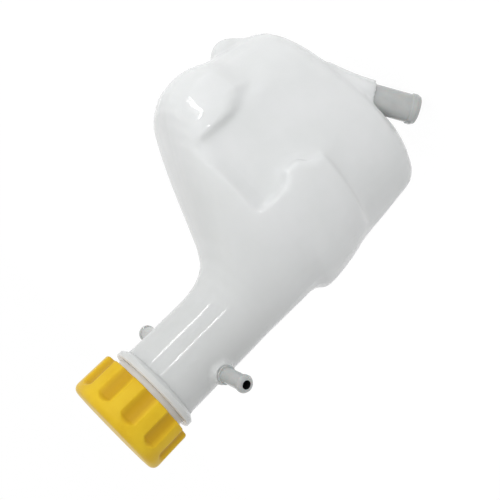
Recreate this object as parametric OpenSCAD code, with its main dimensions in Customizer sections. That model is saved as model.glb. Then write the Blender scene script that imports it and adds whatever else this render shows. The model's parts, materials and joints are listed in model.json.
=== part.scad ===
// Coolant expansion tank, upright, in millimetres.
// The z axis is the filler neck's axis, z = 0 is the tank's lowest floor,
// and the front face, with the bracket recess, looks towards -y.

/* [Filler neck] */
// Outside diameter of the neck
neck_d = 50; // [46:0.5:54]
// Height of the neck's rim above the tank floor
neck_top_z = 244.5; // [238:0.5:252]
// Wall of the neck
neck_wall = 3.1; // [2.6:0.1:3.4]
// How far the flange below the cap stands out from the neck
flange_out = 3.8; // [2.5:0.1:6]
// Thickness of the flange at its edge
flange_t = 4; // [2:0.1:5]
// Depth of the chamfer below the flange
flange_chamfer = 2.4; // [1:0.1:3]
// Distance from the flange's top face to the neck's rim
flange_drop = 22.5; // [21.5:0.5:28]

/* [Thread] */
// Rise of the thread in one turn
thread_pitch = 5; // [4:0.25:6]
// Turns of thread on the neck
thread_turns = 2.4; // [1.5:0.1:2.8]
// Height of the thread's ridge above the neck
thread_depth = 1.7; // [1.2:0.1:2]
// Width of the ridge at its crest
thread_crest = 1.1; // [0.8:0.1:1.6]
// Width of the ridge at its root
thread_root = 2.6; // [2:0.1:3]
// Clearance between the neck's thread and the cap's
thread_gap = 0.35; // [0.2:0.05:0.6]

/* [Tank] */
// Wall of the blown tank
tank_wall = 2.8; // [2:0.1:4]
// Half the depth of the front bay, from the neck's axis to the front face
front_y = 48; // [44:0.5:56]
// Half the depth of the back, from the neck's axis to the back face
back_y = 44; // [38:0.5:52]
// Distance from the neck's axis to the right side
right_x = 126; // [110:1:140]
// Distance from the neck's axis to the left bulge
left_x = 31.5; // [28:0.5:36]
// Height of the step between the lower chamber and the upper bays
step_z = 58; // [50:0.5:66]
// How far the upper bays stand out from the lower chamber
step_out = 6.5; // [4:0.25:9]
// Radius of the tank's bottom edge
bottom_r = 16; // [12:0.5:22]
// Rise of the floor from the outlet's end to the far end
floor_rise = 8; // [4:0.5:14]

/* [Bracket recess] */
// Left edge of the recess
recess_left_x = 34; // [28:0.5:40]
// Right edge of the recess
recess_right_x = 84; // [76:0.5:92]
// Top edge of the recess
recess_top_z = 116; // [106:0.5:120]
// Height of the sloping wall at the recess's top
recess_ramp = 15; // [8:0.5:20]
// Width of the recess's side walls
recess_wall = 5; // [3:0.5:8]

/* [Side lug] */
// Height of the lug's middle above the tank floor
lug_z = 36; // [32:0.5:42]
// How far the lug stands out from the tank's side
lug_out = 9.5; // [5:0.5:12]
// Height of the lug
lug_h = 27; // [20:0.5:32]
// Width of the lug, front to back
lug_w = 38; // [28:1:50]

/* [Outlet spigot] */
// Outside diameter of the spigot's tube
spigot_d = 18; // [16:0.5:20]
// Outside diameter of the bead at the spigot's end
spigot_bead_d = 19.6; // [18:0.2:23]
// Bore of the spigot
spigot_bore_d = 13.4; // [11:0.2:15]
// Length of the tube outside its shoulder
spigot_l = 30; // [24:0.5:36]
// Angle of the spigot below the horizontal
spigot_down = 31; // [25:0.5:36]

/* [Hose nipples] */
// Outside diameter of a nipple's tube
nipple_d = 9.2; // [8:0.1:10.5]
// Outside diameter of the bead at a nipple's end
nipple_bead_d = 10.4; // [9:0.1:12]
// Bore of a nipple
nipple_bore_d = 5.2; // [4:0.1:6]
// Length of a nipple from the neck's surface
nipple_l = 25; // [20:0.5:32]
// Height of the front nipple
front_nipple_z = 189; // [178:0.5:196]
// Direction of the front nipple, measured from the front towards the left
front_nipple_turn = 27.6; // [20:0.2:40]
// Height of the rear nipple
rear_nipple_z = 195; // [178:0.5:200]
// Direction of the rear nipple, measured from the back towards the right
rear_nipple_turn = 20; // [10:1:30]
// Distance of both nipples' axes from the neck's axis
nipple_offset = 10.5; // [6:0.5:13]

/* [Cap] */
// Wall of the cap at its lobes, outside the room for the thread
cap_wall = 5.45; // [5:0.05:8]
// Height of the cap's skirt and top together
cap_h = 26.5; // [25:0.5:30]
// Thickness of the cap's top
cap_top_t = 4; // [3:0.1:5]
// Number of grip grooves round the cap
cap_grooves = 11; // [8:1:14]
// Radius of each grip groove
groove_r = 8; // [5:0.5:9]
// Depth of each grip groove
groove_depth = 2.6; // [1:0.1:2.8]

/* [Valve cartridge] */
// Clearance between the cartridge and the neck's bore
cartridge_gap = 0.6; // [0.4:0.05:0.9]
// Length of the cartridge below the neck's rim
cartridge_l = 22; // [20:0.5:26]
// Wall of the cartridge
cartridge_wall = 3.2; // [3:0.1:3.8]
// Thickness of the gasket on the neck's rim
gasket_t = 1.5; // [1:0.1:2]
// Section diameter of the cartridge's O-ring
o_ring_d = 2.2; // [1.8:0.1:2.6]
// Wire of the pressure spring
pressure_wire_d = 1.6; // [1.2:0.1:2]
// Wire of the vacuum spring
vacuum_wire_d = 0.7; // [0.5:0.1:0.9]
// Radius of the opening that the pressure valve closes
seat_r = 9; // [8:0.25:9.5]
// Clearance of pieces that lie beside each other
seat_gap = 0.1; // [0.05:0.05:0.2]

/* [Hidden] */
$fn = 72;
eps = 0.01;

milky_white = "#E6E8E6";
cap_yellow = "#EFC93F";
seal_black = "#1E1E20";
insert_grey = "#CFCFCB";
acetal_white = "#F1F0EA";
spring_steel = "#A9ABAE";

neck_r = neck_d/2;
flange_r = neck_r + flange_out;
bore_r = neck_r - neck_wall;
flange_top_z = neck_top_z - flange_drop;
flange_low_z = flange_top_z - flange_t;
flange_root_z = flange_low_z - flange_chamfer;
// The neck is a part of its own above this level, where the tank's section has become round.
neck_low_z = 176;

// Each row is one level section of the tank: its height, its reach to the left, right,
// front and back of the neck's axis, and the squareness of its left and right ends,
// where 2 is an ellipse.
bulge_top_z = 106;
belly = [
  [-6, left_x - 8.6, right_x - 16, front_y - 7, back_y - 7, 2.3, 2.6],
  [bottom_r, left_x - 7.8, right_x - 9, front_y - 1.5, back_y - 2, 2.25, 2.8],
  [lug_z, left_x - 6, right_x - 6.5, front_y, back_y - 1, 2.1, 2.9],
  [step_z - 4, left_x - 4.6, right_x - 4.6, front_y, back_y - 1, 2.05, 3],
  [step_z + 3, left_x - 4, right_x - 3.6, front_y, back_y, 2.05, 3],
  [bulge_top_z - 24, left_x - 0.6, right_x + 0.8, front_y + 0.5, back_y, 2.1, 2.9],
  [bulge_top_z - 9, left_x + 0.6, right_x - 1.4, front_y, back_y - 1, 2.1, 2.8],
  [bulge_top_z - 4, left_x - 0.4, right_x - 5, front_y - 0.3, back_y - 2, 2.1, 2.8],
  [bulge_top_z + 1, neck_r + 1.6, right_x - 10, front_y - 0.8, back_y - 4, 2.15, 2.8],
  [bulge_top_z + 6, neck_r + 1, right_x - 19.5, front_y - 1.6, back_y - 7, 2.2, 2.7]];
shoulder = [
  [118, neck_r + 1, 95, 44.6, 34.5, 2.2, 2.6],
  [124, neck_r + 0.8, 81.5, 41.2, 32, 2.2, 2.6],
  [130, neck_r + 0.6, 68, 37.4, 30, 2.2, 2.5],
  [136, neck_r + 0.4, 53.5, 33.8, 28.2, 2.15, 2.4],
  [142, neck_r + 0.2, 41, 30.8, 27, 2.1, 2.25],
  [148, neck_r, 33.4, 28.4, 26, 2.05, 2.1],
  [156, neck_r, 28.4, 26.4, 25.4, 2, 2.05],
  [166, neck_r, neck_r + 0.6, neck_r + 0.3, neck_r, 2, 2],
  [neck_low_z - 1, neck_r, neck_r, neck_r, neck_r, 2, 2],
  [neck_low_z + 10, neck_r, neck_r, neck_r, neck_r, 2, 2]];
sections = concat(belly, shoulder);
last_section = len(sections) - 1;

// Smooth curve through one column of the sections, with no overshoot between rows.
function rise(i, column) =
  (sections[i + 1][column] - sections[i][column]) / (sections[i + 1][0] - sections[i][0]);
function tangent(i, column) =
  i == 0 ? rise(0, column) : i == last_section ? rise(last_section - 1, column)
  : let (below = rise(i - 1, column), above = rise(i, column))
    below*above <= 0 ? 0 : 2*below*above/(below + above);
function section_under(z, i = 0) =
  i >= last_section - 1 || sections[i + 1][0] > z ? i : section_under(z, i + 1);
function reach(z, column) =
  let (i = section_under(z), gap = sections[i + 1][0] - sections[i][0], t = (z - sections[i][0])/gap)
  sections[i][column]*(2*t*t*t - 3*t*t + 1) + tangent(i, column)*gap*(t*t*t - 2*t*t + t)
  + sections[i + 1][column]*(3*t*t - 2*t*t*t) + tangent(i + 1, column)*gap*(t*t*t - t*t);

// Goes from 0 at a to 1 at b, straight or smoothly.
function ramp(v, a, b) = max(0, min(1, (v - a)/(b - a)));
function ease(v, a, b) = let (t = ramp(v, a, b)) t*t*(3 - 2*t);

// The bays stand out from the front by step_out, on both sides of the bracket recess and above it.
nub_z = 81;
nub_h = 15;
nub_out = 7;
function left_edge(z) =
  recess_left_x - recess_wall + nub_out*(ease(z, nub_z - nub_h/2 - 4, nub_z - nub_h/2 + 2)
  - ease(z, nub_z + nub_h/2 - 2, nub_z + nub_h/2 + 4));
function left_bay(x, z) =
  (1 - ease(x, left_edge(z), left_edge(z) + recess_wall))*ease(z, step_z - 1, step_z + 4);
right_step_rise = 16;
function right_step_z(x) = step_z + right_step_rise*(1 - ease(x, recess_right_x - 4, recess_right_x + 12));
function right_bay(x, z) =
  ease(x, recess_right_x - recess_wall, recess_right_x)*ease(z, right_step_z(x) - 4, right_step_z(x) + 16);
function top_bay(z) = ramp(z, recess_top_z - recess_ramp, recess_top_z);
function sunk(x, z) =
  step_out*(1 - max(left_bay(x, z), right_bay(x, z), top_bay(z)))
  *(1 - ease(z, recess_top_z, recess_top_z + 30));
// The recess has a flat floor for the bracket, at the depth of the lower chamber.
seat_y = -(front_y - step_out);
function pad(x, z) =
  (1 - left_bay(x, z))*(1 - right_bay(x, z))*(1 - top_bay(z))*ease(z, step_z - 14, step_z)
  *ease(x, left_edge(z) - 6, left_edge(z) + 1.6)*(1 - ease(x, recess_right_x - 4, recess_right_x + 6));
function lug(y, z) =
  lug_out*pow(max(0, 1 - pow((z - lug_z)/(lug_h/2), 2)), 0.7)*pow(max(0, 1 - pow(y/(lug_w/2), 2)), 0.7);

// Directions of the points round a section. The ones across the front run along the recess's
// walls up to the shoulder, and then spread evenly round the neck.
body_middle = (right_x - left_x)/2;
function middle(z) = body_middle*(1 - ease(z, recess_top_z - 4, recess_top_z + 46));
wall_steps = [-6, -2.5, 0, 1.6, 3.4, 5, 9];
floor_lanes = 4;
function floor_x(z, k) =
  let (a = left_edge(z) + 9, b = recess_right_x - recess_wall - 4)
  a + (b - a)*(k + 1)/(floor_lanes + 1);
function front_x(z) = concat(
  [for (d = wall_steps) left_edge(z) + d],
  [for (k = [0 : floor_lanes - 1]) floor_x(z, k)],
  [for (d = reversed(wall_steps)) recess_right_x - d],
  [recess_right_x + 12]);
front_count = 2*len(wall_steps) + floor_lanes + 1;
function spread(k) = 242 + 78*k/(front_count - 1);
side_lanes = concat(
  [for (t = [-31 : 8 : -15]) t],
  [for (t = [-9 : 6 : 9]) t],
  [for (t = [18 : 11 : 172]) t],
  [for (t = [180 : 7 : 236]) t]);
lane_count = front_count + len(side_lanes);

// One point of the tank's skin: on the section at height z, in from it by inset, in lane k.
floor_flat_x = 12;
function floor_lift(x, z) = floor_rise*ease(x, floor_flat_x, right_x - 16)*(1 - ease(z, 0, step_z));
function direction(z, k, x, front) =
  k >= front_count ? side_lanes[k - front_count]
  : let (across = 360 + atan2(-front, x - middle(z)), w = ease(z, recess_top_z - 6, recess_top_z + 18))
    across + (spread(k) - across)*w;
// Under the shoulder's slope the inner skin also lies lower, so that the wall keeps its thickness.
function roof_drop(z, inset) =
  (inset > 0 ? 0.8*inset : 0)
  *(ease(z, recess_top_z - 18, recess_top_z + 2) - ease(z, recess_top_z + 26, recess_top_z + 56));
function skin_point(x, y, z, inset, deep, t) =
  let (facing = ease(-y/deep, 0, 0.6), sunk_y = y + sunk(x, z)*facing, flat_y = seat_y + inset)
  [x + (cos(t) > 0.5 ? lug(y, z) : 0), sunk_y + pad(x, z)*facing*(flat_y - sunk_y),
    z + floor_lift(x, z) - roof_drop(z, inset)];
function ring(level) =
  let (z = level[0], inset = level[1], left = reach(z, 1) - inset, right = reach(z, 2) - inset,
       front = reach(z, 3) - inset, back = reach(z, 4) - inset, xs = front_x(z))
  [for (k = [0 : lane_count - 1])
    let (t = direction(z, k, xs[min(k, front_count - 1)], front),
         wide = cos(t) < 0 ? left + middle(z) : right - middle(z), n = reach(z, cos(t) < 0 ? 5 : 6),
         deep = sin(t) < 0 ? front : back,
         r = pow(pow(abs(cos(t))/wide, n) + pow(abs(sin(t))/deep, n), -1/n))
    skin_point(middle(z) + r*cos(t), r*sin(t), z, inset, deep, t)];

// Each level is a height and how far in from the section it lies: the bottom edge is rounded.
function round_levels(r, step) = [for (a = [0 : step : 75]) [r*(1 - cos(a)), r*(1 - sin(a))]];
// Some rows lie on the foot and on the top of the recess's sloping wall.
recess_foot_z = recess_top_z - recess_ramp;
recess_rows = concat(
  [for (k = [0 : 6]) step_z + 8 + k*(recess_foot_z - step_z - 8)/7],
  [for (k = [0 : 3]) recess_foot_z + k*recess_ramp/3],
  [recess_top_z + 5]);
outer_levels = concat(
  [[0, bottom_r + 14]],
  round_levels(bottom_r, 18),
  [for (z = [bottom_r : 5.5 : step_z - 4]) [z, 0]],
  [for (z = [step_z - 1.5 : 2.5 : step_z + 5]) [z, 0]],
  [for (z = recess_rows) [z, 0]],
  [for (z = [recess_top_z + 10 : 7 : recess_top_z + 53]) [z, 0]],
  [[neck_low_z, 0]]);
inner_levels = concat(
  [[tank_wall, bottom_r + 14]],
  [for (level = round_levels(bottom_r - tank_wall, 25)) [level[0] + tank_wall, level[1] + tank_wall]],
  [for (z = [bottom_r + 5.5 : 5.5 : step_z - 4]) [z, tank_wall]],
  [for (z = [step_z - 1 : 6 : step_z + 6]) [z, tank_wall]],
  [for (z = recess_rows) [z, tank_wall]],
  [for (z = [recess_top_z + 14 : 10 : recess_top_z + 55]) [z, tank_wall]],
  [[neck_low_z + 1, tank_wall]]);
function reversed(list) = [for (i = [len(list) - 1 : -1 : 0]) list[i]];
function hub(level) = [middle(level[0]), 0, level[0] + floor_lift(middle(level[0]), level[0])];

// A solid through the sections at some levels, closed below and above.
module form(levels) {
  rings = [for (level = levels) each ring(level)];
  top = (len(levels) - 1)*lane_count;
  low_hub = len(rings);
  high_hub = low_hub + 1;
  walls = [for (i = [0 : len(levels) - 2], k = [0 : lane_count - 1])
    let (a = i*lane_count + k, b = i*lane_count + (k + 1) % lane_count)
    each [[a, a + lane_count, b + lane_count], [a, b + lane_count, b]]];
  low = [for (k = [0 : lane_count - 1]) [k, (k + 1) % lane_count, low_hub]];
  high = [for (k = [0 : lane_count - 1]) [top + (k + 1) % lane_count, top + k, high_hub]];
  polyhedron(concat(rings, [hub(levels[0]), hub(levels[len(levels) - 1])]), concat(walls, low, high));
}

// Neck above the shell: barrel, flange and rim, turned about the axis.
rim_chamfer = 0.8;
module neck() {
  rotate_extrude() polygon([
    [0, neck_low_z],
    [neck_r, neck_low_z],
    [neck_r, flange_root_z],
    [flange_r - 0.8, flange_low_z - 0.3],
    [flange_r, flange_low_z + 0.5],
    [flange_r, flange_top_z - 0.6],
    [flange_r - 0.6, flange_top_z],
    [neck_r, flange_top_z],
    [neck_r, neck_top_z - rim_chamfer],
    [neck_r - rim_chamfer, neck_top_z],
    [0, neck_top_z]]);
}
module neck_bore() {
  rotate_extrude() polygon([
    [0, neck_low_z - 1],
    [bore_r, neck_low_z - 1],
    [bore_r, neck_top_z - rim_chamfer],
    [bore_r + 2*rim_chamfer, neck_top_z + rim_chamfer],
    [0, neck_top_z + rim_chamfer]]);
}

// A ridge that climbs round the axis, with ends that run out into its wall.
thread_steps = 36;
function runout(k, count) = ease(min(k, count - k), 0, thread_steps/8);
module ridge(from_turn, turns, start_z, foot_r, crest_r, foot_w, crest_w) {
  count = round(turns*thread_steps);
  points = [for (k = [0 : count])
    let (a = 360*(from_turn + k/thread_steps), z = start_z + thread_pitch*(from_turn + k/thread_steps),
         r = foot_r + (crest_r - foot_r)*(0.1 + 0.9*runout(k, count)))
    each [for (p = [[foot_r, -foot_w/2], [foot_r, foot_w/2], [r, crest_w/2], [r, -crest_w/2]])
      [p[0]*cos(a), p[0]*sin(a), z + p[1]]]];
  outwards = crest_r > foot_r;
  sides = [for (k = [0 : count - 1], j = [0 : 3])
    let (a = 4*k + j, b = 4*k + (j + 1) % 4)
    each (outwards ? [[b, a, b + 4], [b + 4, a, a + 4]] : [[a, b, b + 4], [a, b + 4, a + 4]])];
  first = outwards ? [[1, 2, 3], [0, 1, 3]] : [[3, 2, 1], [3, 1, 0]];
  last = [for (f = first) [4*count + f[2], 4*count + f[1], 4*count + f[0]]];
  polyhedron(points, concat(sides, first, last));
}
thread_start_z = neck_top_z - 4.4 - thread_turns*thread_pitch;
module neck_thread() {
  sink = 0.6;
  ridge(0, thread_turns, thread_start_z, neck_r - sink, neck_r + thread_depth,
    thread_root + sink*(thread_root - thread_crest)/thread_depth, thread_crest);
}

// Places its children with +z along a nipple's or the spigot's axis, outwards.
module along_front_nipple() {
  translate([0, 0, front_nipple_z]) rotate([0, 0, -front_nipple_turn]) translate([-nipple_offset, 0, 0])
    rotate([90 + nipple_droop, 0, 0]) children();
}
module along_rear_nipple() {
  translate([0, 0, rear_nipple_z]) rotate([0, 0, -rear_nipple_turn]) translate([nipple_offset, 0, 0])
    rotate([-90, 0, 0]) children();
}
nipple_droop = 2;
boss_r = nipple_d/2 + 1.9;
boss_out = 3.3;
module boss() {
  hull() {
    translate([0, 0, neck_r - 7]) cylinder(r = boss_r + 1.4, h = 1, $fn = 32);
    translate([0, 0, neck_r + boss_out - 1]) cylinder(r = boss_r, h = 1, $fn = 32);
  }
}
module boss_hole() {
  translate([0, 0, neck_r/3]) cylinder(r = nipple_d/2 + seat_gap, h = neck_r);
}

spigot_root = [33.6, -24.8, 0];
spigot_turn = 5.6;
shoulder_l = 32;
shoulder_end_r = spigot_d/2 + 2.2;
shoulder_flare = 3.3;
shoulder_steps = 8;
socket_l = 9;
module along_spigot() {
  translate(spigot_root) rotate([0, 0, spigot_turn]) rotate([0, -90 - spigot_down, 0]) children();
}
// The shoulder swells as it runs up into the tank's floor.
module shoulder_slice(i) {
  t = i/shoulder_steps;
  translate([0, 0, -shoulder_l*t - 0.2])
    cylinder(r = shoulder_end_r + shoulder_flare*t*t, h = 0.2, $fn = 40);
}
module spigot_shoulder() {
  for (i = [0 : shoulder_steps - 1]) hull() {
    shoulder_slice(i);
    shoulder_slice(i + 1);
  }
}
module spigot_passage() {
  translate([0, 0, -shoulder_l - 2]) cylinder(r = spigot_bore_d/2 + 1, h = shoulder_l + 2 - socket_l);
  translate([0, 0, -socket_l - 1]) cylinder(r = spigot_bore_d/2, h = 2);
  translate([0, 0, -socket_l]) cylinder(r = spigot_d/2 + seat_gap, h = socket_l + 5);
}

// Room for the hose round the tube: the floor is scooped over it, inside and outside alike.
hose_wall = 4;
module hose_room(wall) {
  r = spigot_d/2 + hose_wall + wall;
  taper = 8;
  translate([0, 0, 0.4 - wall]) cylinder(r1 = shoulder_end_r - 0.7 + wall, r2 = r, h = taper, $fn = 48);
  translate([0, 0, taper - wall]) cylinder(r = r, h = spigot_l, $fn = 48);
}

// Inside the tank a short sleeve closes the spigot's socket off from the floor.
module spigot_sleeve() {
  translate([0, 0, -socket_l - 2]) cylinder(r = shoulder_end_r - 0.5, h = socket_l + 1, $fn = 40);
}

module tank_body() {
  color(milky_white) difference() {
    union() {
      difference() {
        union() {
          form(outer_levels);
          along_spigot() spigot_shoulder();
        }
        along_spigot() hose_room(0);
        difference() {
          form(inner_levels);
          along_spigot() hose_room(tank_wall);
        }
      }
      along_spigot() spigot_sleeve();
    }
    along_spigot() spigot_passage();
  }
}

module filler_neck() {
  color(milky_white) difference() {
    union() {
      neck();
      neck_thread();
      along_front_nipple() boss();
      along_rear_nipple() boss();
    }
    neck_bore();
    along_front_nipple() boss_hole();
    along_rear_nipple() boss_hole();
  }
}

// A hose tube with a rounded bead at its end, its axis on z, its root end at z = 0.
module hose_tube(tube_d, bead_d, bore_d, length, bead_l) {
  tube_r = tube_d/2;
  bead_r = bead_d/2;
  difference() {
    rotate_extrude() polygon([
      [0, 0],
      [tube_r, 0],
      [tube_r, length - bead_l],
      [bead_r, length - bead_l + (bead_r - tube_r)],
      [bead_r, length - 0.45*bead_l],
      [tube_r - 0.3, length - 0.3],
      [tube_r - 0.8, length],
      [0, length]]);
    translate([0, 0, -1]) cylinder(d = bore_d, h = length + 2);
  }
}
nipple_root = sqrt(pow(neck_r - tank_wall, 2) - pow(nipple_offset, 2)) + 0.4;
collar_t = 1.4;
module nipple() {
  translate([0, 0, nipple_root])
    hose_tube(nipple_d, nipple_bead_d, nipple_bore_d, neck_r - nipple_root + nipple_l, 4);
  translate([0, 0, neck_r + boss_out + seat_gap]) difference() {
    cylinder(d = nipple_d + 2, h = collar_t);
    translate([0, 0, -1]) cylinder(d = nipple_d - 1, h = collar_t + 2);
  }
}
module front_nipple() {
  color(insert_grey) along_front_nipple() nipple();
}
module rear_nipple() {
  color(insert_grey) along_rear_nipple() nipple();
}
module outlet_spigot() {
  color(insert_grey) along_spigot() translate([0, 0, -socket_l + seat_gap])
    hose_tube(spigot_d, spigot_bead_d, spigot_bore_d, socket_l + spigot_l, 6);
}

// Heights of the cap and its valve, stacked on the neck's rim.
lip_t = 2.2;
gasket_top_z = neck_top_z + gasket_t;
lip_top_z = gasket_top_z + lip_t;
ceiling_z = lip_top_z + seat_gap;
cap_top_z = ceiling_z + cap_top_t;
cap_low_z = cap_top_z - cap_h;
cap_bore_r = neck_r + thread_depth + thread_gap;
cap_r = cap_bore_r + cap_wall;
lip_r = neck_r - 1;
snap_w = 0.7;
snap_h = 0.8;

cap_edge_r = 4;
module cap_outside() {
  arc = [for (a = [0 : 15 : 90])
    [cap_r - cap_edge_r + cap_edge_r*cos(a), cap_top_z - cap_edge_r + cap_edge_r*sin(a)]];
  foot = [[0, cap_low_z], [cap_r - 0.8, cap_low_z], [cap_r - 0.2, cap_low_z + 1]];
  rotate_extrude() polygon(concat(foot, arc, [[0, cap_top_z]]));
}
groove_end = 4.5;
module cap_groove() {
  translate([cap_r + groove_r - groove_depth, 0, 0]) {
    translate([0, 0, cap_low_z - 1]) cylinder(r = groove_r, h = cap_h - groove_end - 3);
    translate([0, 0, cap_low_z + cap_h - groove_end - 4])
      cylinder(r1 = groove_r, r2 = groove_r - groove_depth - 0.4, h = 3.5);
  }
}
module cap_inside() {
  rotate_extrude() polygon([
    [0, cap_low_z - 1],
    [cap_bore_r + 0.6, cap_low_z - 1],
    [cap_bore_r + 0.6, cap_low_z],
    [cap_bore_r, cap_low_z + 0.6],
    [cap_bore_r, gasket_top_z + seat_gap],
    [lip_r - snap_w + 2*seat_gap, gasket_top_z + seat_gap],
    [lip_r - snap_w + 2*seat_gap, gasket_top_z + seat_gap + snap_h],
    [lip_r + 2*seat_gap, gasket_top_z + seat_gap + snap_h],
    [lip_r + 2*seat_gap, ceiling_z],
    [0, ceiling_z]]);
}
cap_thread_from = 0.6;
cap_thread_turns = 1.6;
flank_drop = thread_crest/2 + thread_root/2 - 0.15 + thread_gap;
module cap_shell() {
  sink = 0.6;
  color(cap_yellow) union() {
    difference() {
      cap_outside();
      cap_inside();
      for (i = [0 : cap_grooves - 1]) rotate([0, 0, 360*i/cap_grooves - 90]) cap_groove();
    }
    ridge(cap_thread_from, cap_thread_turns, thread_start_z - flank_drop,
      cap_bore_r + sink, neck_r + thread_gap, thread_root, thread_crest);
  }
}
module rim_gasket() {
  color(seal_black) translate([0, 0, neck_top_z]) difference() {
    cylinder(r = neck_r - 0.2, h = gasket_t);
    translate([0, 0, -1]) cylinder(r = bore_r + 0.2, h = gasket_t + 2);
  }
}

// The cartridge hangs from the cap into the neck's bore and holds both valves.
barrel_r = bore_r - cartridge_gap;
cavity_r = barrel_r - cartridge_wall;
cavity_step = 0.8;
barrel_low_z = neck_top_z - cartridge_l;
seat_ring_t = 3;
seat_top_z = barrel_low_z + seat_ring_t;
roof_t = 4;
roof_z = lip_top_z - roof_t;
groove_z = neck_top_z - 9;
groove_h = o_ring_d + 0.6;
groove_floor_r = bore_r - o_ring_d - seat_gap;
module cartridge_body() {
  color(acetal_white) difference() {
    rotate_extrude() polygon([
      [0, barrel_low_z],
      [barrel_r - 0.6, barrel_low_z],
      [barrel_r, barrel_low_z + 0.6],
      [barrel_r, groove_z],
      [groove_floor_r, groove_z],
      [groove_floor_r, groove_z + groove_h],
      [barrel_r, groove_z + groove_h],
      [barrel_r, gasket_top_z],
      [lip_r - snap_w, gasket_top_z],
      [lip_r - snap_w, gasket_top_z + snap_h + 2*seat_gap],
      [lip_r, gasket_top_z + snap_h + 2*seat_gap],
      [lip_r, lip_top_z],
      [0, lip_top_z]]);
    translate([0, 0, barrel_low_z - 1]) cylinder(r = cavity_r, h = seat_ring_t + 1);
    translate([0, 0, seat_top_z - eps]) cylinder(r = cavity_r - cavity_step, h = roof_z - seat_top_z + eps);
    translate([0, 0, lip_top_z - 1.5]) cylinder(r = cavity_r - 3, h = 3);
    for (a = [0 : 60 : 300]) rotate([0, 0, a]) translate([seat_r - 0.5, 0, roof_z - 1])
      cylinder(r = 1.6, h = roof_t + 2, $fn = 24);
  }
}
module cartridge_o_ring() {
  color(seal_black) translate([0, 0, groove_z + groove_h/2])
    rotate_extrude() translate([bore_r - seat_gap - o_ring_d/2, 0]) circle(d = o_ring_d, $fn = 24);
}
seat_lip_h = 0.9;
seat_lip_w = 1.4;
seal_z = seat_top_z + seat_lip_h + seat_gap;
seal_t = 1.2;
plate_z = seal_z + seal_t + seat_gap;
plate_t = 1.6;
plate_top_z = plate_z + plate_t;
pressure_seal_r = seat_r + seat_lip_w + 1.2;
plate_r = (pressure_seal_r + cavity_r - cavity_step - seat_gap)/2;
stem_r = 1.7;
vacuum_seal_r = seat_r - 2.5;
plate_hole_r = (stem_r + vacuum_seal_r)/2 + 0.1;
module valve_seat_ring() {
  color(acetal_white) difference() {
    union() {
      translate([0, 0, barrel_low_z]) cylinder(r = cavity_r - seat_gap/2, h = seat_ring_t - seat_gap/2);
      translate([0, 0, barrel_low_z]) cylinder(r = seat_r + seat_lip_w, h = seat_ring_t + seat_lip_h);
    }
    translate([0, 0, barrel_low_z - 1]) cylinder(r = seat_r, h = seat_ring_t + seat_lip_h + 2);
  }
}
module pressure_valve_seal() {
  color(seal_black) translate([0, 0, seal_z]) difference() {
    cylinder(r = pressure_seal_r, h = seal_t);
    translate([0, 0, -1]) cylinder(r = seat_r - 1.4, h = seal_t + 2);
  }
}
pressure_spring_r = plate_r - 1.8;
module pressure_valve_plate() {
  guide_r = pressure_spring_r - pressure_wire_d/2 - 0.5;
  color(acetal_white) difference() {
    union() {
      translate([0, 0, plate_z]) cylinder(r = plate_r, h = plate_t);
      translate([0, 0, plate_top_z - eps]) cylinder(r1 = guide_r, r2 = guide_r - 0.6, h = 1.6);
    }
    translate([0, 0, plate_z - 1]) cylinder(r = plate_hole_r, h = plate_t + 4);
    translate([0, 0, plate_top_z]) cylinder(r = guide_r - 2.2, h = 4);
  }
}
// A coil of round wire between two heights, about the z axis.
module coil(mean_r, wire_d, turns, low_z, high_z, steps, sides) {
  count = round(turns*steps);
  climb = high_z - low_z - wire_d;
  points = [for (k = [0 : count])
    let (a = 360*k/steps, z = low_z + wire_d/2 + climb*k/count)
    each [for (j = [0 : sides - 1])
      let (r = mean_r + wire_d/2*cos(360*j/sides + 180/sides))
      [r*cos(a), r*sin(a), z + wire_d/2*sin(360*j/sides + 180/sides)]]];
  skin_faces = [for (k = [0 : count - 1], j = [0 : sides - 1])
    let (a = k*sides + j, b = k*sides + (j + 1) % sides)
    each [[a, b, b + sides], [a, b + sides, a + sides]]];
  first = [[for (j = [sides - 1 : -1 : 0]) j]];
  last = [[for (j = [0 : sides - 1]) count*sides + j]];
  polyhedron(points, concat(skin_faces, first, last));
}
module pressure_spring() {
  color(spring_steel)
    coil(pressure_spring_r, pressure_wire_d, 4.5, plate_top_z + seat_gap, roof_z - seat_gap, 20, 6);
}
disc_t = 1.1;
disc_r = vacuum_seal_r - 0.3;
vacuum_spring_r = plate_hole_r + 1.1;
clip_z = plate_top_z + 5.6;
clip_t = 1.1;
module vacuum_valve_stem() {
  color(acetal_white) {
    translate([0, 0, seal_z - seat_gap - disc_t]) cylinder(r = disc_r, h = disc_t);
    translate([0, 0, seal_z - seat_gap - eps])
      cylinder(r = stem_r, h = clip_z + clip_t + 1.6 - seal_z + seat_gap, $fn = 32);
  }
}
module vacuum_valve_seal() {
  color(seal_black) translate([0, 0, seal_z]) difference() {
    cylinder(r = vacuum_seal_r, h = seal_t);
    translate([0, 0, -1]) cylinder(r = stem_r + seat_gap, h = seal_t + 2, $fn = 32);
  }
}
module vacuum_spring() {
  color(spring_steel)
    coil(vacuum_spring_r, vacuum_wire_d, 4, plate_top_z + seat_gap, clip_z - seat_gap, 16, 5);
}
module vacuum_spring_clip() {
  color(spring_steel) translate([0, 0, clip_z]) difference() {
    cylinder(r = vacuum_spring_r + 0.8, h = clip_t);
    translate([0, 0, -1]) cylinder(r = stem_r + seat_gap, h = clip_t + 2, $fn = 32);
  }
}

tank_body();
filler_neck();
front_nipple();
rear_nipple();
outlet_spigot();
cap_shell();
rim_gasket();
cartridge_body();
cartridge_o_ring();
valve_seat_ring();
pressure_valve_plate();
pressure_valve_seal();
pressure_spring();
vacuum_valve_stem();
vacuum_valve_seal();
vacuum_spring();
vacuum_spring_clip();
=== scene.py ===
import json
import math

import bpy
from mathutils import Matrix, Vector


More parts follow.
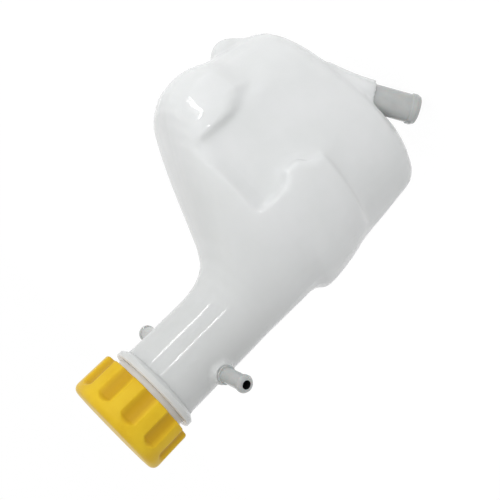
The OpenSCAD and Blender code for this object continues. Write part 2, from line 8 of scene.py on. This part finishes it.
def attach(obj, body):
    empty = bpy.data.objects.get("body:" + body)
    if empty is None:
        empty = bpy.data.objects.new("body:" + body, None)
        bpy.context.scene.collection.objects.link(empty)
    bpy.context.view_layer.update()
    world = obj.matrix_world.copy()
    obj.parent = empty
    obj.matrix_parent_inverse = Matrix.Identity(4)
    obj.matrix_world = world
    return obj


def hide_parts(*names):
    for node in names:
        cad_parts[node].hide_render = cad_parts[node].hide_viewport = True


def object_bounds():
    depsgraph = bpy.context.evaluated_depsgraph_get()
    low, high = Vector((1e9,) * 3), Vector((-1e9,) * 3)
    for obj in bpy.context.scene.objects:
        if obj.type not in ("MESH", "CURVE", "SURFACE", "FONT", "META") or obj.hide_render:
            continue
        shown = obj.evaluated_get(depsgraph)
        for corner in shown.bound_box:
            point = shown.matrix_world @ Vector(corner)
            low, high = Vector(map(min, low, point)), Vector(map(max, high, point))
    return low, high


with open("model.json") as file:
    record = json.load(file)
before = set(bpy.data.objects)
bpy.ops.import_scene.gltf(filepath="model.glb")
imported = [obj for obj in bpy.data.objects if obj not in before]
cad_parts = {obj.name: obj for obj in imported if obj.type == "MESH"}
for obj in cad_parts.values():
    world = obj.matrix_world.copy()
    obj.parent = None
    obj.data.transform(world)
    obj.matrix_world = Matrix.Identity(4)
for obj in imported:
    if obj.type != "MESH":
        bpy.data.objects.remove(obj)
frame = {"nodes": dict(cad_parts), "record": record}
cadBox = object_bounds()
nodes = frame["nodes"]
mm = 0.001
print("frame loaded:", len(nodes), "nodes")


# selecting and shaping

mergeWithin = 0.002 * mm


def clearSelection():
    if bpy.context.object and bpy.context.object.mode != "OBJECT":
        bpy.ops.object.mode_set(mode="OBJECT")
    bpy.ops.object.select_all(action="DESELECT")


def pick(piece):
    clearSelection()
    piece.select_set(True)
    bpy.context.view_layer.objects.active = piece


def mergedCopy(nodeName, pieceName):
    # a CAD node's triangles are loose, so its copy is merged, and its stored normals
    # cleared, before it is shaped
    piece = bpy.data.objects.new(pieceName, nodes[nodeName].data.copy())
    bpy.context.scene.collection.objects.link(piece)
    pick(piece)
    bpy.ops.mesh.customdata_custom_splitnormals_clear()
    bpy.ops.object.mode_set(mode="EDIT")
    bpy.ops.mesh.select_all(action="SELECT")
    bpy.ops.mesh.remove_doubles(threshold=mergeWithin)
    bpy.ops.object.mode_set(mode="OBJECT")
    return piece


def keepPart(piece, height, above):
    # a level cut at a height in mm, with the far side cleared and the cut closed
    pick(piece)
    bpy.ops.object.mode_set(mode="EDIT")
    bpy.ops.mesh.select_all(action="SELECT")
    bpy.ops.mesh.bisect(plane_co=(0, 0, height * mm), plane_no=(0, 0, 1), use_fill=True,
                        clear_inner=above, clear_outer=not above)
    bpy.ops.object.mode_set(mode="OBJECT")


def applyModifier(piece, kind, **settings):
    pick(piece)
    modifier = piece.modifiers.new(kind.title(), kind)
    for name, value in settings.items():
        setattr(modifier, name, value)
    bpy.ops.object.modifier_apply(modifier=modifier.name)


def evenSkin(piece, grain):
    # one skin of small, even, smooth-shaded faces in place of the CAD's long triangles
    applyModifier(piece, "REMESH", mode="VOXEL", voxel_size=grain * mm, use_smooth_shade=True)


def soften(piece, times, group=""):
    applyModifier(piece, "SMOOTH", factor=0.5, iterations=times, vertex_group=group)


def dress(piece, material, body, slot, *replaced):
    piece.data.materials.clear()
    piece.data.materials.append(material)
    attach(piece, body)
    if replaced:
        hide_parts(*replaced)


# materials

white = (1, 1, 1, 1)
noiseSpan = (0.3, 0.7)  # most of a noise texture's values lie between these two


def linear(hexCode):
    # sRGB hex to the linear colour that the shader takes
    parts = [int(hexCode[i:i + 2], 16) / 255 for i in (1, 3, 5)]
    return tuple(part / 12.92 if part <= 0.04045 else ((part + 0.055) / 1.055) ** 2.4
                 for part in parts) + (1,)


def newMaterial(name, **shader):
    material = bpy.data.materials.new(name)
    material.use_nodes = True
    tree = material.node_tree
    principled = tree.nodes["Principled BSDF"]
    for socket, value in shader.items():
        principled.inputs[socket.replace("_", " ")].default_value = value
    return tree, principled


def addNode(tree, kind, inputs=(), **settings):
    # inputs go by socket name or number, and each is a value or another node's output
    node = tree.nodes.new("ShaderNode" + kind)
    for name, value in settings.items():
        setattr(node, name, value)
    for socket, value in dict(inputs).items():
        if isinstance(value, bpy.types.NodeSocket):
            tree.links.new(value, node.inputs[socket])
        else:
            node.inputs[socket].default_value = value
    return node


def noiseOf(tree, size, detail):
    # noise on Object coordinates, scaled so that its features are about that many mm wide
    place = addNode(tree, "TexCoord").outputs["Object"]
    inMm = addNode(tree, "Mapping", {"Vector": place, "Scale": (1000 / size,) * 3}).outputs["Vector"]
    return addNode(tree, "TexNoise", {"Vector": inMm, "Scale": 1, "Detail": detail}).outputs["Fac"]


def twoTone(tree, noise, first, second):
    ramp = addNode(tree, "ValToRGB", {"Fac": noise})
    for stop, position, tone in zip(ramp.color_ramp.elements, noiseSpan, (first, second)):
        stop.position = position
        stop.color = linear(tone)
    return ramp.outputs["Color"]


def unevenGloss(tree, principled, noise, rough):
    spread = addNode(tree, "MapRange", {"Value": noise, "From Min": noiseSpan[0], "From Max": noiseSpan[1],
                                        "To Min": rough[0], "To Max": rough[1]})
    tree.links.new(spread.outputs["Result"], principled.inputs["Roughness"])


def addTone(tree, base, share, hexCode):
    # another colour over the base, by a share between 0 and 1
    return addNode(tree, "Mix", {"Factor": share, "A": base, "B": linear(hexCode)},
                   data_type="RGBA").outputs["Result"]


# Natural polypropylene, blown: milky, a little see-through, glossy outside with a faint
# ripple from the mould and cloudier where the wall is thick. Sizes and heights are in mm.
milkyPlastic = {
    "thin": "#EDF0EF", "thick": "#F4F6F6", "cloud": 34,
    # painted shade: the neck is painted greyer towards its top
    "neckShade": "#DADCDB", "neckShadeRise": (80, 190),
    # painted light: the finish above the flange is painted whiter
    "finishLight": "#F6F7F7", "finishLightRise": (220.5, 222.5),
    "ripple": 9, "rippleDepth": 0.05, "grain": 0.9, "grainDepth": 0.012, "rough": (0.17, 0.27),
    "seam": 0.35, "seamHeight": 0.12,
}


def makeMilkyPlastic(name, spec):
    tree, principled = newMaterial(name, IOR=1.49, Subsurface_Weight=0.4, Subsurface_Scale=0.008,
                                   Subsurface_Radius=(1.0, 1.0, 0.95), Coat_Weight=0.22,
                                   Coat_Roughness=0.04, Coat_IOR=2.0, Specular_IOR_Level=0.2)
    cloud = noiseOf(tree, spec["cloud"], 3)
    ripple = noiseOf(tree, spec["ripple"], 1)
    grain = noiseOf(tree, spec["grain"], 2)
    place = addNode(tree, "TexCoord").outputs["Object"]
    across = addNode(tree, "SeparateXYZ", {"Vector": place})
    # painted shade: the colour turns greyer up the neck, where less light falls
    low, high = spec["neckShadeRise"]
    neckShading = addNode(tree, "MapRange", {"Value": across.outputs["Z"], "From Min": low * mm,
                                          "From Max": high * mm}, interpolation_type="SMOOTHSTEP")
    # painted light: whiter again above the flange, where the cap's shadow falls on the finish
    low, high = spec["finishLightRise"]
    finishLit = addNode(tree, "MapRange", {"Value": across.outputs["Z"], "From Min": low * mm,
                                       "From Max": high * mm})
    tone = twoTone(tree, cloud, spec["thin"], spec["thick"])
    tone = addTone(tree, tone, neckShading.outputs["Result"], spec["neckShade"])
    tone = addTone(tree, tone, finishLit.outputs["Result"], spec["finishLight"])
    tree.links.new(tone, principled.inputs["Base Color"])
    unevenGloss(tree, principled, cloud, spec["rough"])
    # the mould's parting line is a raised seam in the plane y = 0
    offset = addNode(tree, "Math", {0: across.outputs["Y"]}, operation="ABSOLUTE")
    ridge = addNode(tree, "MapRange", {"Value": offset.outputs["Value"], "From Min": 0.0,
                                       "From Max": spec["seam"] * mm, "To Min": 1.0, "To Max": 0.0},
                    interpolation_type="SMOOTHSTEP")
    wide = addNode(tree, "Bump", {"Height": ripple, "Distance": spec["rippleDepth"] * mm, "Strength": 1})
    fine = addNode(tree, "Bump", {"Height": grain, "Distance": spec["grainDepth"] * mm, "Strength": 1,
                                  "Normal": wide.outputs["Normal"]})
    seam = addNode(tree, "Bump", {"Height": ridge.outputs["Result"], "Distance": spec["seamHeight"] * mm,
                                  "Strength": 1, "Normal": fine.outputs["Normal"]})
    tree.links.new(seam.outputs["Normal"], principled.inputs["Normal"])


def makeMoulded(name, base, shade, rough, grainSize, grainDepth,
                cloudSize=12, weight=0.0, gloss=0.0, shine=0.5):
    # one colour with a fine spark-eroded grain from the mould and slightly uneven gloss
    tree, principled = newMaterial(name, IOR=1.5, Subsurface_Weight=weight, Subsurface_Scale=0.002,
                                   Coat_Weight=gloss, Coat_Roughness=0.08, Specular_IOR_Level=shine)
    cloud = noiseOf(tree, cloudSize, 3)
    grain = noiseOf(tree, grainSize, 2)
    tree.links.new(twoTone(tree, cloud, shade, base), principled.inputs["Base Color"])
    unevenGloss(tree, principled, grain, rough)
    bump = addNode(tree, "Bump", {"Height": grain, "Distance": grainDepth * mm, "Strength": 1})
    tree.links.new(bump.outputs["Normal"], principled.inputs["Normal"])
    return tree, principled


# Yellow moulded plastic, half glossy. The grip grooves are painted darker than the lobes, as painted shade:
# by how far out a point lies, below the top edge. In mm.
capPlastic = {"base": "#F0C92B", "shade": "#E8BD22", "grooveShade": "#D2A41A",
              "unshaded": 32.3, "darkest": 30.4, "edge": 248.0, "edgeFade": 2}


def makeCapPlastic(name, spec):
    tree, principled = makeMoulded(name, spec["base"], spec["shade"], (0.34, 0.46), 0.6, 0.014, shine=0.2)
    place = addNode(tree, "TexCoord").outputs["Object"]
    # painted shade: darker down in the grip grooves, below the top edge
    across = addNode(tree, "VectorMath", {0: place, 1: (1, 1, 0)}, operation="MULTIPLY")
    outwards = addNode(tree, "VectorMath", {0: across.outputs["Vector"]}, operation="LENGTH")
    deep = addNode(tree, "MapRange", {"Value": outwards.outputs["Value"], "From Min": spec["unshaded"] * mm,
                                      "From Max": spec["darkest"] * mm})
    height = addNode(tree, "SeparateXYZ", {"Vector": place})
    below = addNode(tree, "MapRange", {"Value": height.outputs["Z"], "From Min": spec["edge"] * mm,
                                       "From Max": (spec["edge"] - spec["edgeFade"]) * mm})
    share = addNode(tree, "Math", {0: deep.outputs["Result"], 1: below.outputs["Result"]},
                    operation="MULTIPLY")
    unshaded = principled.inputs["Base Color"].links[0].from_socket
    tone = addTone(tree, unshaded, share.outputs["Value"], spec["grooveShade"])
    tree.links.new(tone, principled.inputs["Base Color"])


def makeSpringWire(name):
    # drawn steel wire: its fine draw lines make the gloss uneven at less than half a millimetre
    tree, principled = newMaterial(name, Metallic=1.0)
    lines = noiseOf(tree, 0.4, 3)
    tree.links.new(twoTone(tree, lines, "#8C8E90", "#B9BBBD"), principled.inputs["Base Color"])
    unevenGloss(tree, principled, lines, (0.22, 0.42))


makeMilkyPlastic("blownPolypropylene", milkyPlastic)
makeCapPlastic("yellowCapPlastic", capPlastic)
# the nipples and the spigot: grey-white, glossy, and a little light goes into them
makeMoulded("greyInsertPlastic", "#C1C3C2", "#B2B5B4", (0.16, 0.28), 0.7, 0.01, weight=0.15, gloss=0.5)
# painted shade: the same plastic painted near-black down a bore, where no light gets
makeMoulded("shadedBore", "#1B1C1C", "#101111", (0.4, 0.6), 0.7, 0.01)
# rubber is matt and nearly black, and the valve's plastic is white and satin
makeMoulded("blackSealRubber", "#1C1C1E", "#242426", (0.6, 0.8), 0.5, 0.02)
makeMoulded("whiteValvePlastic", "#EDECE4", "#E2E1D8", (0.3, 0.45), 0.6, 0.01)
makeSpringWire("springWire")
finish = bpy.data.materials
print("materials ready")


# tank

# The blown shell, with the neck up to its flange, is softened all over: its corners are as
# round as air leaves them. Heights and the grain of the skin are in mm.
shell = {"top": 217.2, "grain": 1.45, "softening": 5}
lowerNeck = mergedCopy("filler_neck", "lower_neck")
keepPart(lowerNeck, shell["top"], above=False)
tankShell = mergedCopy("tank_body", "tank_shell")
lowerNeck.select_set(True)
bpy.ops.object.join()
evenSkin(tankShell, shell["grain"])
soften(tankShell, shell["softening"])

# The step round the left end is the softest edge of all, then the nub in the recess above it.
softEdges = {
    "step": {"x": (-40, 34), "z": (48, 70), "softening": 40},
    "nub": {"x": (26, 50), "z": (62, 95), "softening": 14},
}
for name, edge in softEdges.items():
    left, right = edge["x"]
    low, high = edge["z"]
    group = tankShell.vertex_groups.new(name=name)
    group.add([point.index for point in tankShell.data.vertices
               if left < point.co.x / mm < right and low < point.co.z / mm < high and point.co.y < 0],
              1.0, "REPLACE")
    soften(tankShell, edge["softening"], name)
dress(tankShell, finish["blownPolypropylene"], "tank", "milky_polypropylene", "tank_body", "filler_neck")
print("tank shell:", len(tankShell.data.polygons), "faces")

# The neck above it, with flange, thread and rim, keeps its crisp edges. It starts inside the shell.
neckFinish = {"from": 215.4, "crispAngle": 32}
neck = mergedCopy("filler_neck", "neck_finish")
keepPart(neck, neckFinish["from"], above=True)
pick(neck)
bpy.ops.object.shade_smooth_by_angle(angle=math.radians(neckFinish["crispAngle"]))
dress(neck, finish["blownPolypropylene"], "tank", "milky_polypropylene")
print("neck finish:", len(neck.data.polygons), "faces")


# cap

cap = {"grain": 0.55, "softening": 2}
capPiece = mergedCopy("cap_shell", "screw_cap")
evenSkin(capPiece, cap["grain"])
soften(capPiece, cap["softening"])
dress(capPiece, finish["yellowCapPlastic"], "cap", "cap_yellow", "cap_shell")
print("screw cap:", len(capPiece.data.polygons), "faces")


# CAD nodes that keep their shape

keptNodes = {
    "greyInsertPlastic": ("front_nipple", "rear_nipple", "outlet_spigot"),
    "blackSealRubber": ("rim_gasket", "cartridge_o_ring", "pressure_valve_seal", "vacuum_valve_seal"),
    "whiteValvePlastic": ("cartridge_body", "valve_seat_ring", "pressure_valve_plate", "vacuum_valve_stem"),
    "springWire": ("pressure_spring", "vacuum_spring", "vacuum_spring_clip"),
}
for materialName, nodeNames in keptNodes.items():
    for nodeName in nodeNames:
        nodes[nodeName].data.materials.clear()
        nodes[nodeName].data.materials.append(finish[materialName])
print("kept nodes finished:", sum(len(nodeNames) for nodeNames in keptNodes.values()))

# A bore runs along the axis of its bead's mount. Each has that mount's name and its radius in mm.
bores = {
    "front_nipple": ("front_nipple_bead", 2.6),
    "rear_nipple": ("rear_nipple_bead", 2.6),
    "outlet_spigot": ("outlet_bead", 6.7),
}
boreSlack = 0.2
mounts = {mount["name"]: mount for mount in frame["record"]["mounts"]}
# painted shade goes on each bore's inner faces
for nodeName, (mountName, radius) in bores.items():
    tube = nodes[nodeName]
    tube.data.materials.append(finish["shadedBore"])
    end = Vector(mounts[mountName]["pos_m"])
    outward = Vector(mounts[mountName]["axis"])
    place = tube.matrix_world
    turn = place.to_3x3()
    for face in tube.data.polygons:
        reach = place @ face.center - end
        side = reach - outward * reach.dot(outward)
        if side.length < (radius + boreSlack) * mm and (turn @ face.normal).dot(side) < 0:
            face.material_index = 1
print("bores shaded:", len(bores))


# floor, light and camera

# The room is brightest towards the tank's right, front and below, and dimmest over the cap. The
# floor is 6 m wide and lies 0.2 mm below the object. A tenth of its paint shows, so that it keeps
# the tank's shadow.
studio = {
    "floorSize": 6.0, "floorBelow": 0.2, "paint": "#EDEDED", "glow": 1.06, "glowShare": 0.9,
    "dimSide": 0.4, "brightSide": 1.02, "brightTowards": (0.8, -0.45, -0.4),
}


def seesWhite(tree):
    # 1 for what the camera, a mirror or a clear piece sees, 0 for the light that is thrown back
    ray = addNode(tree, "LightPath").outputs
    direct = addNode(tree, "Math", {0: ray["Is Camera Ray"], 1: ray["Is Glossy Ray"]},
                     operation="MAXIMUM")
    return addNode(tree, "Math", {0: direct.outputs["Value"], 1: ray["Is Transmission Ray"]},
                   operation="MAXIMUM").outputs["Value"]


def makeWhiteGround(name, spec):
    material = bpy.data.materials.new(name)
    material.use_nodes = True
    tree = material.node_tree
    tree.nodes.remove(tree.nodes["Principled BSDF"])
    paint = addNode(tree, "BsdfDiffuse", {"Color": linear(spec["paint"])})
    glow = addNode(tree, "Emission", {"Color": white, "Strength": spec["glow"]})
    share = addNode(tree, "Math", {0: seesWhite(tree), 1: spec["glowShare"]}, operation="MULTIPLY")
    mix = addNode(tree, "MixShader", {0: share.outputs["Value"], 1: paint.outputs["BSDF"],
                                      2: glow.outputs["Emission"]})
    tree.links.new(mix.outputs["Shader"], tree.nodes["Material Output"].inputs["Surface"])
    return material


def makeWhiteRoom(name, spec):
    world = bpy.data.worlds.new(name)
    world.use_nodes = True
    tree = world.node_tree
    towards = addNode(tree, "TexCoord").outputs["Generated"]
    lean = addNode(tree, "VectorMath", {0: towards, 1: spec["brightTowards"]}, operation="DOT_PRODUCT")
    level = addNode(tree, "MapRange", {"Value": lean.outputs["Value"], "From Min": -1.0, "From Max": 1.0,
                                       "To Min": spec["dimSide"], "To Max": spec["brightSide"]})
    sky = tree.nodes["Background"]
    sky.inputs["Color"].default_value = white
    tree.links.new(level.outputs["Result"], sky.inputs["Strength"])
    seen = addNode(tree, "Background", {"Color": white, "Strength": 1.0})
    mix = addNode(tree, "MixShader", {0: seesWhite(tree), 1: sky.outputs["Background"],
                                      2: seen.outputs["Background"]})
    tree.links.new(mix.outputs["Shader"], tree.nodes["World Output"].inputs["Surface"])
    return world


clearSelection()
bpy.ops.mesh.primitive_plane_add(size=studio["floorSize"],
                                 location=(0, 0, cadBox[0][2] - studio["floorBelow"] * mm))
floor = bpy.context.object
floor.name = "studio_floor"
floor.data.materials.append(makeWhiteGround("paleGround", studio))
bpy.context.scene.world = makeWhiteRoom("whiteRoom", studio)

# Each lamp: where it stands round the object in degrees (0 is in front, positive to the right),
# how high, how far, its width and height, its power in watts, and the point that it looks at.
lamps = {
    "keyBox": (30, 8, 0.8, 0.4, 0.4, 0.9, (0.05, 0, 0.06)),
    "neckStripNear": (14, -9, 0.8, 0.03, 0.14, 0.3, (0.0, 0, 0.18)),
    "neckStripFar": (56, -9, 0.8, 0.03, 0.14, 0.3, (0.0, 0, 0.18)),
    "bayStrip": (71, -22, 0.155, 0.005, 0.03, 0.003, (0.101, -0.045, 0.07)),
    "leftFill": (-65, 5, 1.0, 0.7, 0.7, 0.05, (0.03, 0, 0.12)),
    "topBox": (0, 80, 0.9, 0.6, 0.6, 0.03, (0.03, 0, 0.12)),
    "backFill": (180, 25, 1.1, 0.8, 0.8, 0.4, (0.03, 0, 0.12)),
}
for name, (around, up, away, wide, high, power, seenPoint) in lamps.items():
    data = bpy.data.lights.new(name, "AREA")
    data.shape = "RECTANGLE"
    data.size = wide
    data.size_y = high
    data.energy = power
    lamp = bpy.data.objects.new(name, data)
    bpy.context.scene.collection.objects.link(lamp)
    turn = math.radians(around)
    rise = math.radians(up)
    out = Vector((math.sin(turn) * math.cos(rise), -math.cos(turn) * math.cos(rise), math.sin(rise)))
    lamp.location = Vector(seenPoint) + out * away
    lamp.rotation_euler = out.to_track_quat("Z", "Y").to_euler()
    # the big boxes leave no mirror image, and only the strips show in the gloss
    lamp.visible_glossy = "Strip" in name

# The photo's view: target and distance in mm, angles in degrees, lens and sensor in mm.
view = {"target": (18.5, 0, 120), "distance": 480, "elevation": 17.5, "roll": -134.3,
        "lens": 56.2, "sensor": 36}
cameraData = bpy.data.cameras.new("photoCamera")
cameraData.lens = view["lens"]
cameraData.sensor_width = view["sensor"]
camera = bpy.data.objects.new("photoCamera", cameraData)
bpy.context.scene.collection.objects.link(camera)
tilt = math.radians(view["elevation"])
aim = Vector(view["target"]) * mm
back = Vector((0, -math.cos(tilt), math.sin(tilt)))
camera.matrix_world = (Matrix.Translation(aim + back * view["distance"] * mm)
                       @ back.to_track_quat("Z", "Y").to_matrix().to_4x4()
                       @ Matrix.Rotation(math.radians(view["roll"]), 4, "Z"))
bpy.context.scene.camera = camera
bpy.context.scene.view_settings.view_transform = "Standard"
print("studio ready")


# last, the view layer is brought up to date


bpy.context.view_layer.update()
